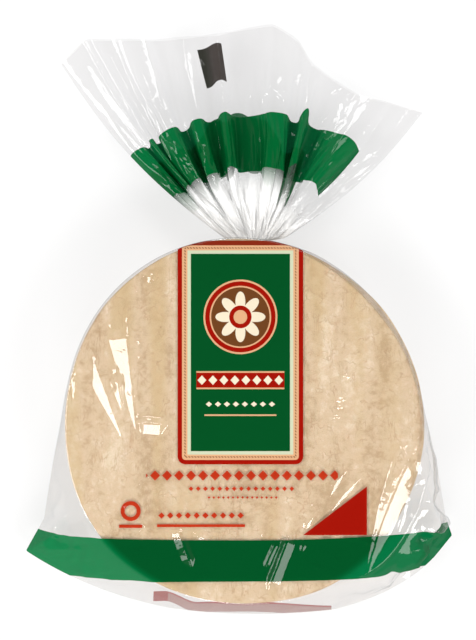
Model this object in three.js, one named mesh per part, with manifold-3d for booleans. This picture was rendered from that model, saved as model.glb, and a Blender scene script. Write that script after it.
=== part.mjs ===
import * as THREE from "three";
import { mergeVertices } from "three/addons/utils/BufferGeometryUtils.js";
import Module from "manifold-3d";

// A pack of corn tortillas: a round stack in a clear film bag that is gathered at its neck.
// Millimetres, +Z up. The pack lies on its back, so the stack's axis is Z, the resting face
// is at z = 0 under the stack's centre, and the neck and the loose tail point along +Y.

// The stack
const tortillaCount = 30;
const tortillaThickness = 1.75;
const tortillaDiameter = 180;
const stackHeight = tortillaCount * tortillaThickness;
const stackRadius = tortillaDiameter / 2;
const ovalness = 1.6; // the stack's outline is this much out of round
const ovalAngle = THREE.MathUtils.degToRad(118); // along this direction

// The film round the stack
const filmClearance = 1.2; // how far the film stands off the stack's side
const rimRound = 5; // radius of the film over the stack's front and back edges
const frontCrown = 0.8; // rise of the front in its middle
const restingRadius = stackRadius - 5; // flat part of the back
const sideHeight = stackHeight / 2; // height of the side crease beside the stack
const cornerHeight = 13; // height of the side crease at the empty bottom corners
const cornerStart = 15; // the crease starts to sink below this y
const cornerEnd = -58; // and has sunk below this y
const neckDimple = 3.4; // how far the gathered film is drawn in under the front edge
const neckDimpleAngle = 0.26; // half width of that dimple, in radians

// Outline of the side crease, seen from above: an arc beside the stack, then the corners
const arcStart = THREE.MathUtils.degToRad(12);
const arcEnd = THREE.MathUtils.degToRad(162);
const leftSide = new THREE.Vector2(-98, -12); // control points of the curved stretches
const leftBottom = new THREE.Vector2(-82, -90);
const bottomMiddle = new THREE.Vector2(0, -104.5);
const rightBottom = new THREE.Vector2(81, -91);
const rightSide = new THREE.Vector2(98, -14);
const leftCornerTop = new THREE.Vector2(-104, -52); // points on the line
const leftCornerTip = new THREE.Vector2(-113.5, -69);
const bottomLeft = new THREE.Vector2(-40, -98.5);
const bottomRight = new THREE.Vector2(46, -99.5);
const rightCornerLow = new THREE.Vector2(99, -71.5);
const rightCornerTip = new THREE.Vector2(107.5, -61);
const rightCornerTop = new THREE.Vector2(104, -51);
const outlineSteps = 90;
const arcSteps = 40;

// The neck and the tail
const gatherPoint = new THREE.Vector3(2, 84, 24); // where the folds of the film meet
const ropeStart = 0.015; // first section of the tail, inside the body, as a share of its length
const ropeEnd = 0.074; // the film stays gathered in a rope up to here
const ropeSpread = 0.05; // width of the rope as a share of the mouth's
const ropeLength = 119; // from the gather to the mouth's middle, for sections of the rope
const ropeHalfHeight = 6.5;
const fanStart = 0.2; // from here on, the tail's folds run straight to the mouth
const fanCurve = 0.85; // below 1, the fan opens faster near the rope
const tailHalfHeight = 10; // where the ruffle is fullest
const mouthHalfHeight = 4.6;
const mouthHeight = 14; // height of the mouth's middle line
const sideBow = 10.5; // the fan's edges bow out by this much half way
const pocketHalfHeight = 3.2; // the open slit between the two lips of the mouth
const pocketBottom = 0.8; // the slit reaches in from the mouth to here
const pleatCount = 8; // pleats across each wall
const pleatDepth = 2.6;
const backPleatShift = 0.9; // pleats of the back wall run this far off the front's, in radians
const tailColumns = 56;
const tailRows = 13;
const rowCrowding = 1.4; // above 1, the rows lie closer together near the rope
const pocketRows = 3;

// Free edge of the tail from its left tip to its right one, seen from above
const mouthLine = [
  [-95, 183],
  [-83, 195],
  [-50, 195.5],
  [-14, 198.5],
  [15, 203],
  [28, 195],
  [35, 183],
  [47, 174.5],
  [60, 166.5],
  [75, 163],
  [92, 158],
].map(([x, y]) => new THREE.Vector3(x, y, mouthHeight));

// The tie round the neck
const tieY = 91.6; // its middle, along the neck
const tieWire = 0.9; // radius of its section
const tieGap = 0.9;
const tieSteps = 36;
const tieSectionSteps = 8;

const smooth = (from, to, value) => {
  const t = THREE.MathUtils.clamp((value - from) / (to - from), 0, 1);
  return t * t * (3 - 2 * t);
};

// A closed mesh from loops of points, each joined to the next. The two ends are closed by
// the function given, which returns its triangles for the loop that starts at an index.
function loft(loops, closeStart, closeEnd, extraPoints = []) {
  const around = loops[0].length;
  const points = [...loops.flat(), ...extraPoints];
  const triangles = [];
  for (let row = 0; row < loops.length - 1; row += 1) {
    for (let i = 0; i < around; i += 1) {
      const a = row * around + i;
      const b = row * around + ((i + 1) % around);
      triangles.push([a, b, b + around], [a, b + around, a + around]);
    }
  }
  triangles.push(...closeStart(0).map(([a, b, c]) => [a, c, b]));
  triangles.push(...closeEnd((loops.length - 1) * around));
  const geometry = new THREE.BufferGeometry();
  geometry.setAttribute(
    "position",
    new THREE.Float32BufferAttribute(points.flatMap((p) => [p.x, p.y, p.z]), 3),
  );
  geometry.setIndex(triangles.flat());
  return geometry;
}

// Closes a loop of points as a fan round one middle point
const fanCap = (around, middle) => (start) =>
  Array.from({ length: around }, (_, i) => [start + i, start + ((i + 1) % around), middle]);

// Closes a flat loop as a strip between its front half and its back half
const stripCap = (around) => (start) => {
  const triangles = [];
  for (let i = 0; i < around / 2; i += 1) {
    const [a, b] = [i, i + 1];
    const [d, c] = [(around - i) % around, around - i - 1];
    if (a !== d) triangles.push([start + a, start + c, start + d]);
    if (b !== c) triangles.push([start + a, start + b, start + c]);
  }
  return triangles;
};

// Radius of the slightly oval stack at an angle about its axis
const ovalRadius = (angle) => stackRadius + ovalness * Math.cos(2 * (angle - ovalAngle));

// The side crease of the film as points round the stack, counterclockwise from the right
function creasePoints() {
  const beside = (share) => {
    const angle = THREE.MathUtils.lerp(arcStart, arcEnd, share);
    const radius = ovalRadius(angle) + filmClearance;
    return new THREE.Vector2(radius * Math.cos(angle), radius * Math.sin(angle));
  };
  const outline = new THREE.Path();
  const arc = Array.from({ length: arcSteps + 1 }, (_, i) => beside(i / arcSteps));
  outline.setFromPoints(arc);
  outline.quadraticCurveTo(leftSide.x, leftSide.y, leftCornerTop.x, leftCornerTop.y);
  outline.lineTo(leftCornerTip.x, leftCornerTip.y);
  outline.quadraticCurveTo(leftBottom.x, leftBottom.y, bottomLeft.x, bottomLeft.y);
  outline.quadraticCurveTo(bottomMiddle.x, bottomMiddle.y, bottomRight.x, bottomRight.y);
  outline.quadraticCurveTo(rightBottom.x, rightBottom.y, rightCornerLow.x, rightCornerLow.y);
  outline.lineTo(rightCornerTip.x, rightCornerTip.y);
  outline.lineTo(rightCornerTop.x, rightCornerTop.y);
  outline.quadraticCurveTo(rightSide.x, rightSide.y, arc[0].x, arc[0].y);
  return outline.getSpacedPoints(outlineSteps).slice(0, outlineSteps);
}

// One radial profile: flat front, rounded edge, slope to the crease, slope to the flat back.
// Each entry is [distance from the stack's axis, height].
function bodyProfile(crease) {
  const angle = Math.atan2(crease.y, crease.x);
  const dimple = neckDimple * Math.exp(-(((angle - Math.PI / 2) / neckDimpleAngle) ** 2));
  const reach = crease.length() - dimple;
  const low = smooth(cornerStart, cornerEnd, crease.y);
  const creaseHeight = THREE.MathUtils.lerp(sideHeight, cornerHeight, low);
  const rim = ovalRadius(angle) + 0.6 - rimRound;
  const ring = (degrees) => [
    rim + rimRound * Math.sin(THREE.MathUtils.degToRad(degrees)),
    stackHeight - rimRound * (1 - Math.cos(THREE.MathUtils.degToRad(degrees))),
  ];
  const slope = (share) => [
    THREE.MathUtils.lerp(ring(70)[0], reach, share),
    THREE.MathUtils.lerp(ring(70)[1], creaseHeight, share),
  ];
  const under = (share) => [
    THREE.MathUtils.lerp(reach, restingRadius + 2.5, share),
    THREE.MathUtils.lerp(creaseHeight, 1.2, share ** 0.8),
  ];
  return [
    [0.4 * rim, stackHeight + 0.8 * frontCrown],
    [0.75 * rim, stackHeight + 0.4 * frontCrown],
    [rim, stackHeight],
    ring(35),
    ring(70),
    slope(0.4),
    slope(0.75),
    [reach, creaseHeight],
    under(0.45),
    under(1),
    [restingRadius, 0],
    [0.5 * restingRadius, 0],
  ];
}

function bodyGeometry() {
  const creases = creasePoints();
  const profiles = creases.map(bodyProfile);
  const loops = profiles[0].map((_, k) =>
    creases.map((crease, i) => {
      const [distance, height] = profiles[i][k];
      const direction = crease.clone().normalize();
      return new THREE.Vector3(direction.x * distance, direction.y * distance, height);
    }),
  );
  loops.reverse(); // from the back to the front, so that faces point outwards
  const middle = loops.length * outlineSteps;
  return loft(loops, fanCap(outlineSteps, middle), fanCap(outlineSteps, middle + 1), [
    new THREE.Vector3(0, 0, 0),
    new THREE.Vector3(0, 0, stackHeight + frontCrown),
  ]);
}

// A point on the middle sheet of the tail: a rope of even width, then rays that open to the
// mouth's edge with the sides bowed out. side runs from -1 at the left edge to 1 at the
// right, out from 0 at the gather to 1 at the mouth.
function tailMiddle(mouth, side, out) {
  const edge = mouth.getPointAt((side + 1) / 2);
  const opened = Math.max(0, (out - ropeEnd) / (1 - ropeEnd)) ** fanCurve;
  const spread = THREE.MathUtils.lerp(ropeSpread, 1, opened);
  const ray = THREE.MathUtils.lerp(
    ropeLength,
    edge.y - gatherPoint.y,
    smooth(ropeEnd, fanStart, out),
  );
  return new THREE.Vector3(
    THREE.MathUtils.lerp(gatherPoint.x, edge.x, spread) +
      sideBow * side * Math.sin(Math.PI * spread),
    gatherPoint.y + ray * out,
    THREE.MathUtils.lerp(gatherPoint.z, edge.z, out),
  );
}

// Half the height between the tail's two walls: round across the rope, flatter in the fan
function tailHalf(side, out) {
  const ruffled = THREE.MathUtils.lerp(ropeHalfHeight, tailHalfHeight, smooth(0.05, 0.45, out));
  const half = THREE.MathUtils.lerp(ruffled, mouthHalfHeight, smooth(0.6, 1, out));
  const flatness = THREE.MathUtils.lerp(2, 4, smooth(ropeEnd, fanStart, out));
  return half * Math.sqrt(1 - Math.abs(side) ** flatness);
}

// One loop round the flattened tail: the front wall from left to right, then the back wall.
// The loops of the pocket lie inside the outer ones.
function tailLoop(mouth, out, isPocket) {
  const widest = isPocket ? 0.985 : 1;
  const depth = pleatDepth * smooth(0.08, 0.4, out) * (1 - 0.35 * smooth(0.6, 1, out));
  const wall = (column, sign) => {
    const side = widest * (2 * (column / tailColumns) - 1);
    const edge = Math.abs(column / tailColumns - 0.5) === 0.5;
    const middle = tailMiddle(mouth, side, out);
    const full = isPocket ? pocketHalfHeight * Math.sqrt(1 - side ** 4) : tailHalf(side, out);
    const half = edge ? 0 : full;
    const phase = pleatCount * Math.PI * side + (sign < 0 ? backPleatShift : 0);
    const fade = 1 - side ** 4;
    middle.z += edge ? 0 : sign * half + depth * fade * Math.cos(phase);
    return middle;
  };
  const front = Array.from({ length: tailColumns + 1 }, (_, i) => wall(i, 1));
  const back = Array.from({ length: tailColumns - 1 }, (_, i) => wall(tailColumns - 1 - i, -1));
  return [...front, ...back];
}

// The neck's rope of film and the loose tail with its open mouth
function tailGeometry() {
  const mouth = new THREE.CatmullRomCurve3(mouthLine, false, "centripetal");
  const outer = [ropeStart];
  for (let i = 0; i <= tailRows; i += 1) {
    outer.push(THREE.MathUtils.lerp(ropeEnd, 1, (i / tailRows) ** rowCrowding));
  }
  const inner = Array.from({ length: pocketRows + 1 }, (_, i) =>
    tailLoop(mouth, THREE.MathUtils.lerp(1, pocketBottom, i / pocketRows), true),
  );
  const around = 2 * tailColumns;
  const loops = [...outer.map((out) => tailLoop(mouth, out, false)), ...inner];
  return loft(loops, stripCap(around), stripCap(around));
}

// A ring of round section round the neck, its plane across the neck
function tieGeometry() {
  const mouth = new THREE.CatmullRomCurve3(mouthLine, false, "centripetal");
  const out = (tieY - gatherPoint.y) / ropeLength;
  const left = tailMiddle(mouth, -1, out);
  const right = tailMiddle(mouth, 1, out);
  const halfWidth = (right.x - left.x) / 2 + tieGap + tieWire;
  const halfHeight = tailHalf(0, out) + tieGap + tieWire;
  const loops = Array.from({ length: tieSteps }, (_, i) => {
    const turn = (2 * Math.PI * i) / tieSteps;
    const outward = new THREE.Vector3(Math.cos(turn), 0, Math.sin(turn));
    const centre = new THREE.Vector3(
      (right.x + left.x) / 2 + halfWidth * outward.x,
      tieY,
      gatherPoint.z + halfHeight * outward.z,
    );
    return Array.from({ length: tieSectionSteps }, (_, k) => {
      const around = (2 * Math.PI * k) / tieSectionSteps;
      const point = centre.clone().addScaledVector(outward, tieWire * Math.cos(around));
      point.y += tieWire * Math.sin(around);
      return point;
    });
  });
  const none = () => [];
  return loft([...loops, loops[0]], none, none);
}

const wasm = await Module();
wasm.setup();

function toSolid(geometry) {
  const merged = mergeVertices(geometry, 1e-3);
  const solid = new wasm.Manifold(
    new wasm.Mesh({
      numProp: 3,
      vertProperties: new Float32Array(merged.getAttribute("position").array),
      triVerts: new Uint32Array(merged.getIndex().array),
    }),
  );
  return solid;
}

function toGeometry(solid) {
  const mesh = solid.getMesh();
  const geometry = new THREE.BufferGeometry();
  geometry.setAttribute("position", new THREE.BufferAttribute(mesh.vertProperties, 3));
  geometry.setIndex(new THREE.BufferAttribute(mesh.triVerts, 1));
  return geometry;
}

const film = new THREE.MeshStandardMaterial({ color: 0xe2caac, roughness: 0.35, metalness: 0 });
const tie = new THREE.MeshStandardMaterial({ color: 0xeeeeea, roughness: 0.5, metalness: 0 });

function named(name, geometry, material) {
  const mesh = new THREE.Mesh(geometry, material);
  mesh.name = name;
  return mesh;
}

const pack = new THREE.Group();
pack.add(named("bag", toGeometry(toSolid(bodyGeometry()).add(toSolid(tailGeometry()))), film));
pack.add(named("neck_tie", tieGeometry(), tie));

export default pack;
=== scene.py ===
import math

import bpy
import numpy as np
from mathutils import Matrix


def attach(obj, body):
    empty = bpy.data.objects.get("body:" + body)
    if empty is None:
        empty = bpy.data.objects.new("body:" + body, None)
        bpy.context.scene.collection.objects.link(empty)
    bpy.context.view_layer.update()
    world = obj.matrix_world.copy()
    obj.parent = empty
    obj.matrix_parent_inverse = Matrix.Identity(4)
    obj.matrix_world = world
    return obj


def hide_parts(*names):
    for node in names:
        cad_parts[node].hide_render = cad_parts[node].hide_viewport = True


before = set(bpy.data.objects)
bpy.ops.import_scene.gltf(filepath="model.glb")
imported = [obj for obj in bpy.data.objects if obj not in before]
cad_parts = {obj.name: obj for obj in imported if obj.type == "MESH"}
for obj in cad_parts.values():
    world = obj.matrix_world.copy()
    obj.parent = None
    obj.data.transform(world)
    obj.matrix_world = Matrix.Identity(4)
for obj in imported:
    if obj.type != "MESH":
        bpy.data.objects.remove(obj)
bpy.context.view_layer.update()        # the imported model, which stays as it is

mm = 0.001
fineness = 1.0   # share of the full number of rows and columns


def ease(start, end, x):
    # 0 before start, 1 after end, and 3 t^2 - 2 t^3 between them
    t = np.clip((x - start) / (end - start), 0.0, 1.0)
    return t * t * (3.0 - 2.0 * t)


def between(a, b, share):
    # a at share 0, b at share 1, straight between
    return a + (b - a) * share


def change(a, b, start, end, x):
    # a up to start, b from end on, and a smooth step between them
    return between(a, b, ease(start, end, x))


def turnBell(angle, middle, span, power=2):
    # a bell curve about one turn: 1 there, and 1/e at span to either side
    off = np.angle(np.exp(1j * (angle - middle)))
    return np.exp(-(off / span) ** power)


def zigzag(t):
    # a triangle wave of period 1, from -0.5 to 0.5
    return 2 * np.abs(t - np.round(t)) - 0.5


def waves(x, y, length, seed, count=14, spread=math.pi):
    # the sum of plane cosine waves of one rough length, with random headings within spread of
    # the x axis and random phases, scaled to about -1 to 1
    rng = np.random.default_rng(seed)
    headings = rng.uniform(-spread / 2, spread / 2, count)
    phases = rng.uniform(0, 2 * math.pi, count)
    lengths = length * rng.uniform(0.7, 1.4, count)
    total = 0.0
    for heading, phase, one in zip(headings, phases, lengths):
        along = x * math.cos(heading) + y * math.sin(heading)
        total = total + np.cos(2 * math.pi * along / one + phase)
    return total / math.sqrt(2 * count)


def gridPiece(name, points, material, around=False, ring=False, startPole=None,
              endPole=None, uv=None):
    # a mesh from an array of rows x columns x 3: four neighbours make a face, around joins the
    # last column to the first, ring the last row to the first, and a pole closes the first or
    # the last row as a fan
    rows, columns = points.shape[:2]
    flat = points.reshape(-1, 3)
    here = np.arange(columns if around else columns - 1)
    nextOne = (here + 1) % columns
    row = np.arange(rows if ring else rows - 1)[:, None]
    base, above = row * columns, (row + 1) % rows * columns
    quads = np.stack([base + here, base + nextOne, above + nextOne, above + here], -1)
    quads = quads.reshape(-1, 4)
    fans = []
    for pole, edge, turned in ((startPole, 0, True), (endPole, rows - 1, False)):
        if pole is None:
            continue
        index = np.full(len(here), len(flat))
        flat = np.vstack([flat, pole])
        pair = [edge * columns + nextOne, edge * columns + here]
        fans.append(np.stack((pair if turned else pair[::-1]) + [index], -1))
    corners = np.concatenate([quads.ravel()] + [fan.ravel() for fan in fans])
    sizes = np.concatenate([np.full(len(quads), 4)] + [np.full(len(fan), 3) for fan in fans])
    mesh = bpy.data.meshes.new(name)
    mesh.vertices.add(len(flat))
    mesh.vertices.foreach_set("co", flat.astype(np.float32).ravel())
    mesh.loops.add(len(corners))
    mesh.loops.foreach_set("vertex_index", corners.astype(np.int32))
    mesh.polygons.add(len(sizes))
    mesh.polygons.foreach_set("loop_start", (np.cumsum(sizes) - sizes).astype(np.int32))
    mesh.polygons.foreach_set("loop_total", sizes.astype(np.int32))
    mesh.polygons.foreach_set("use_smooth", np.ones(len(sizes), bool))
    if uv is not None:
        flatUv = uv.reshape(-1, 2)
        while len(flatUv) < len(flat):
            flatUv = np.vstack([flatUv, poleUv])
        layer = mesh.uv_layers.new(name="print")
        layer.data.foreach_set("uv", flatUv[corners].astype(np.float32).ravel())
    mesh.update(calc_edges=True)
    mesh.validate()
    piece = bpy.data.objects.new(name, mesh)
    bpy.context.scene.collection.objects.link(piece)
    mesh.materials.append(material)
    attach(piece, "root")
    return piece


poleUv = [0.5, 0.5]     # print coordinates at a pole: the middle of the front
printSpan = 250.0       # millimetres of film to one unit of the print map


# nodes for the materials

class Field:
    # a node's output that takes the plain signs of arithmetic; comparing gives a mask of 0 or 1
    def __init__(self, socket):
        self.socket = socket
        self.tree = socket.id_data

    def __add__(self, other):
        return calc("ADD", self, other)

    def __sub__(self, other):
        return calc("SUBTRACT", self, other)

    def __rsub__(self, other):
        return calc("SUBTRACT", other, self)

    def __mul__(self, other):
        return calc("MULTIPLY", self, other)

    def __truediv__(self, other):
        return calc("DIVIDE", self, other)

    def __pow__(self, other):
        return calc("POWER", self, other)

    def __lt__(self, other):
        return calc("LESS_THAN", self, other)

    def __gt__(self, other):
        return calc("GREATER_THAN", self, other)

    def __abs__(self):
        return calc("ABSOLUTE", self)

    __radd__ = __add__
    __rmul__ = __mul__


def calc(operation, *values):
    # one Math node, in the tree that its first linked value belongs to
    tree = next(value.tree for value in values if isinstance(value, Field))
    return field(tree, "Math", dict(enumerate(values)), operation=operation)


def larger(a, b):
    return calc("MAXIMUM", a, b)


def newTree(name):
    material = bpy.data.materials.new(name)
    material.use_nodes = True
    tree = material.node_tree
    tree.nodes.clear()
    return material, tree


def addNode(tree, kind, inputs=None, **settings):
    # one node, with its settings, and its inputs linked or set by name or number
    made = tree.nodes.new("ShaderNode" + kind)
    for key, value in settings.items():
        setattr(made, key, value)
    for key, value in (inputs or {}).items():
        feed(made.inputs[key], value)
    return made


def feed(socket, value):
    if isinstance(value, Field):
        value.tree.links.new(value.socket, socket)
    else:
        socket.default_value = value


def field(tree, kind, inputs=None, output=0, **settings):
    # one node too, as the output that is wanted of it
    return Field(addNode(tree, kind, inputs, **settings).outputs[output])


def mixColour(share, first, second):
    return field(share.tree, "Mix", {0: share, 6: first, 7: second}, 2, data_type="RGBA")


def mixVector(tree, share, first, second):
    return field(tree, "Mix", {0: share, 4: first, 5: second}, 1, data_type="VECTOR")


def smooth(value, start, end, low=0.0, high=1.0):
    # low up to start, high from end on, and a smooth step between them
    return field(value.tree, "MapRange", {0: value, 1: start, 2: end, 3: low, 4: high},
                 interpolation_type="SMOOTHSTEP")


def tone(red, green, blue):
    # a colour given as screen values of 0 to 255, made linear
    values = [part / 255.0 for part in (red, green, blue)]
    return [v / 12.92 if v <= 0.04045 else ((v + 0.055) / 1.055) ** 2.4 for v in values] + [1.0]


def grey(level):
    return (level, level, level, 1.0)


def noise(place, scale, detail=2.0, roughness=0.5, output=0):
    return field(place.tree, "TexNoise",
                 {"Vector": place, "Scale": scale, "Detail": detail, "Roughness": roughness}, output)


def ramp(value, stops, interpolation="LINEAR"):
    made = addNode(value.tree, "ValToRGB", {"Fac": value})
    made.color_ramp.interpolation = interpolation
    elements = made.color_ramp.elements
    while len(elements) < len(stops):
        elements.new(0.5)
    for element, (place, colour) in zip(elements, stops):
        element.position = place
        element.color = colour
    return Field(made.outputs[0])


def fade(value, start, end, low, high):
    # low up to start, high from end on, straight between
    return ramp(value, [(start, grey(low)), (end, grey(high))])


def objectPlace(tree, scale=(1.0, 1.0, 1.0)):
    where = field(tree, "TexCoord", output="Object")
    return field(tree, "Mapping", {"Vector": where, "Scale": scale})


# camera, lights and floor

studio = {
    "cameraPlace": (-3.5 * mm, 50.6 * mm, 1150 * mm),   # straight above, looking down
    "lens": 123.3,
    "sensor": 36.0,
    "worldStrength": 0.52,
    "worldTop": 0.06,                            # share of it left straight above
    "worldFade": (0.55, 0.93),                   # it fades between these heights of the sky
    # name, azimuth from +X and zenith angle in degrees, distance, width, height, watts
    "softboxes": [
        ("left", 192, 40, 1.5, 0.52, 0.78, 12.0),
        ("right", -38, 42, 1.5, 0.55, 0.72, 12.0),
        ("back", 84, 46, 1.7, 0.5, 0.9, 9.5),
        ("front", -95, 50, 1.7, 0.5, 0.62, 9.5),
    ],
    "floorTone": (137, 137, 137),
    "floorGlow": 0.666,                          # a light table, lit from below as well
    "floorSide": 3.0,
    "layers": 40,                                # the pleated film lies many layers deep
    "bounces": 16,
}


def makeStudio():
    scene = bpy.context.scene
    data = bpy.data.cameras.new("camera")
    data.lens = studio["lens"]
    data.sensor_fit = "VERTICAL"
    data.sensor_height = studio["sensor"]
    data.clip_start = 0.01
    camera = bpy.data.objects.new("camera", data)
    camera.location = studio["cameraPlace"]
    scene.collection.objects.link(camera)
    scene.camera = camera

    world = bpy.data.worlds.new("world")
    world.use_nodes = True
    background = world.node_tree.nodes["Background"]
    background.inputs["Strength"].default_value = studio["worldStrength"]
    toSky = field(world.node_tree, "TexCoord", output="Generated")
    height = field(world.node_tree, "SeparateXYZ", {0: toSky}, "Z")
    start, end = studio["worldFade"]
    sky = ramp(height, [(start, grey(1.0)), (end, grey(studio["worldTop"]))], "EASE")
    feed(background.inputs["Color"], sky)
    scene.world = world

    for name, azimuth, zenith, away, width, height, watts in studio["softboxes"]:
        light = bpy.data.lights.new(name, "AREA")
        light.shape = "RECTANGLE"
        light.size, light.size_y = width, height
        light.energy = watts
        lamp = bpy.data.objects.new(name, light)
        turn, lean = math.radians(azimuth), math.radians(zenith)
        lamp.location = (away * math.sin(lean) * math.cos(turn),
                         away * math.sin(lean) * math.sin(turn),
                         away * math.cos(lean))
        lamp.rotation_euler = (0, lean, turn)    # its -Z looks back at the origin
        lamp.visible_camera = False
        scene.collection.objects.link(lamp)

    half = studio["floorSide"] / 2
    mesh = bpy.data.meshes.new("floor")
    corners = [(-half, -half, 0), (half, -half, 0), (half, half, 0), (-half, half, 0)]
    mesh.from_pydata(corners, [], [(0, 1, 2, 3)])
    floor = bpy.data.objects.new("floor", mesh)
    scene.collection.objects.link(floor)
    material, tree = newTree("floor")
    shader = field(tree, "BsdfPrincipled",
                   {"Base Color": tone(*studio["floorTone"]), "Roughness": 0.7,
                    "Emission Color": grey(1.0), "Emission Strength": studio["floorGlow"]})
    addNode(tree, "OutputMaterial", {"Surface": shader})
    mesh.materials.append(material)

    scene.view_settings.view_transform = "Standard"
    scene.cycles.transparent_max_bounces = studio["layers"]
    scene.cycles.max_bounces = studio["bounces"]
    print("studio made")


# tortillas

stack = {
    "count": 30,
    "floorGap": 0.4 * mm,         # film and slack under the lowest one
    "height": 52.5 * mm,
    "turns": [0, 25, 45, 65, 90, 112, 135, 160, 180, 200, 217, 243, 270, 290, 305, 325, 345],
    # the edge's distance from the origin at those turns, of the top one and of the low ones
    "topEdge": [88.0, 86.4, 84.8, 88.6, 92.0, 91.8, 91.6, 89.8, 89.4, 91.3, 93.2, 92.2, 91.2,
                92.6, 93.6, 91.0, 88.6],
    "lowEdge": [91.0, 89.0, 88.8, 89.5, 90.4, 90.8, 90.8, 89.8, 88.6, 89.0, 90.0, 90.4, 90.4,
                91.4, 92.0, 92.0, 91.6],
    "leanSpan": (36 * mm, 52 * mm),     # the low edge becomes the top one between these heights
    "wobble": 0.45 * mm,          # of each edge, out of round
    "shuffle": 0.45 * mm,         # how far each one lies off the stack's line
    "neckPress": 3.4 * mm,        # the gathered neck presses into the edges this far
    "neckPressTurn": 0.26,
    "neckPressSpan": (34 * mm, 50 * mm),    # it fades between these heights
    "seed": 7,
    "wave": (0.3 * mm, 60 * mm, 3),     # height, length and seed
    "thick": 0.97,                # share of the pitch
    "edgeRound": 0.9 * mm,
    "edgeDroop": 0.5 * mm,
    "rings": (110, 40, 5),        # of the top one, of the lowest, and of those between
    "columns": (400, 240),        # of the top one, and of the others
    # on the top one: height, length, seed, number of waves, and spread of their headings
    "relief": [
        (0.36 * mm, 13 * mm, 21, 14, 0.24),
        (0.06 * mm, 6 * mm, 22, 14, math.pi),
        (0.03 * mm, 2.4 * mm, 23, 24, math.pi),
    ],
}


def neckPress(angle, z):
    # a soft dent at +Y, deepest at the height of the neck and gone at the front face
    high = 1.0 - ease(*stack["neckPressSpan"], z)
    return stack["neckPress"] * turnBell(angle, math.pi / 2, stack["neckPressTurn"]) * high


def roundEdge(angle, radii):
    # the distances named for a few turns, joined by straight steps and averaged over 26 degrees
    turns = np.radians(stack["turns"])
    offsets = np.radians(np.linspace(-13, 13, 9))
    total = sum(np.interp(angle + offset, turns, radii, period=2 * math.pi) for offset in offsets)
    return total / len(offsets) * mm


def edgeReach(angle, z):
    # distance from the origin to the stack's edge, which shifts from the low ones to the top one
    lowEdge, topEdge = roundEdge(angle, stack["lowEdge"]), roundEdge(angle, stack["topEdge"])
    return change(lowEdge, topEdge, *stack["leanSpan"], z) - neckPress(angle, z)


def softWave(x, y):
    # the gentle waviness that the top of the stack and the film over it share
    high, length, seed = stack["wave"]
    return high * waves(x, y, length, seed)


def tortillaPoints(level, rings, columns):
    # rings from the middle of the underside, round the edge, to the middle of the upper side;
    # both sides follow one gentle waviness that grows with the height in the stack
    rng = np.random.default_rng(stack["seed"] + level)
    pitch = (stack["height"] - stack["floorGap"]) / stack["count"]
    low = stack["floorGap"] + level * pitch
    thick = pitch * stack["thick"]
    angle = np.linspace(0, 2 * math.pi, columns, endpoint=False)[None, :]
    reach = edgeReach(angle, low + thick / 2)
    for order in (2, 3, 5, 9, 17):
        wobble = rng.normal(0, stack["wobble"] / order ** 0.6)
        reach = reach + wobble * np.cos(order * angle + rng.uniform(0, 6.3))
    isTop = level == stack["count"] - 1
    free = 0.0 if isTop else stack["shuffle"]
    shift = rng.uniform(-free, free, 2)
    edge = np.linspace(-0.5, 0.5, 9)
    flatShare = np.linspace(0.02, 1, rings)
    inset = stack["edgeRound"]
    outFlat = flatShare[:, None] * (reach - inset)
    roundOut = reach - inset + inset * np.sqrt(np.clip(1 - (2 * edge[1:-1, None]) ** 2, 0, 1)) ** 0.7
    out = np.vstack([outFlat, roundOut, outFlat[::-1]])
    share = np.concatenate([np.zeros(rings), edge[1:-1] + 0.5, np.ones(rings)])[:, None]
    x = out * np.cos(angle) + shift[0]
    y = out * np.sin(angle) + shift[1]
    rise = (low + stack["floorGap"]) / stack["height"]
    wavy = rise * softWave(x, y)
    droop = stack["edgeDroop"] * rise * ease(0.8, 1.0, out / reach)
    z = low + share * thick + (wavy - droop) * ease(0, 0.15, rise)
    if isTop:
        for high, *settings in stack["relief"]:
            z = z + share * high * waves(x, y, *settings)
    return np.stack([x, y, z], -1)


crumb = {                   # finish of the tortillas
    "dark": tone(181, 154, 118),
    "base": tone(206, 182, 150),
    "light": tone(222, 204, 177),
    "column": tone(194, 167, 120),
    "crack": tone(168, 132, 92),
    "speck": tone(156, 118, 80),
    # noises: repeats per metre, detail and roughness
    "streaks": (85.0, 3.0, 0.5),
    "blotches": (150.0, 4.0, 0.62),
    "grain": (460.0, 3.0, 0.6),
    "fineGrain": (1300.0, 2.0, 0.6),
    "columns": (62.0, 1.0, 0.5),
    "scratches": (330.0, 2.0, 0.5),
    "scratched": (75.0, 2.0, 0.5),
    "crackBend": (130.0, 3.0, 0.5),
    # length of these across Y, as a share of their length along it
    "stretch": {"streaks": 0.22, "columns": 0.07, "scratches": 0.16},
    # cells: repeats per metre
    "spots": 210.0,
    "cracks": 120.0,
    "specks": 95.0,
    "shares": (0.46, 0.36, 0.12, 0.20, 0.14),   # of streaks, blotches, spots and both grains
    "levels": (0.49, 0.65, 0.80),               # where dark, base and light lie on their sum
    "bend": 0.014,                              # how far the cracks are bent
    "speckShare": 0.72,                         # share of the cells without a speck
    # levels between which each mark comes or goes
    "columnSpan": (0.53, 0.66),
    "scratchSpan": (0.004, 0.02),
    "scratchedSpan": (0.50, 0.60),
    "crackSpan": (0.0, 0.05),
    "crackedSpan": (0.48, 0.60),
    "speckSpan": (0.02, 0.06),
    "depths": (1.0, 0.5, 0.3, -0.8),            # of blotches, both grains and marks
    "bump": (0.45, 0.7 * mm),
}


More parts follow.
